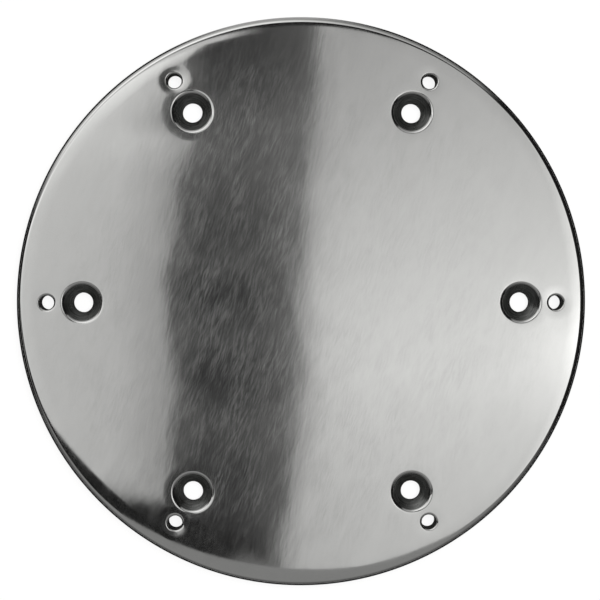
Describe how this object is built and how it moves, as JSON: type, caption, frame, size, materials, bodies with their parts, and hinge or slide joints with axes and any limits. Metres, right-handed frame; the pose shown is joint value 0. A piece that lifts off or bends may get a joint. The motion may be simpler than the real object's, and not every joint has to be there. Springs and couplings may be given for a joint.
{
  "type": "round cover plate",
  "caption": "Round polished stainless steel cover plate with a rounded rim, a circle of countersunk bolt holes and a wider circle of plain screw holes.",
  "frame": {"origin": "centre of the flat back face, on the plate's axis", "axes": "+Z along the axis, out of the polished face; +X through one bolt hole and the screw hole outside it"},
  "size_m": [0.26, 0.26, 0.008],
  "materials": {
    "polished_steel": "buffed to a mirror with faint polishing lines"
  },
  "bodies": {
    "root": {"cover_plate": "polished_steel"}
  },
  "joints": []
}
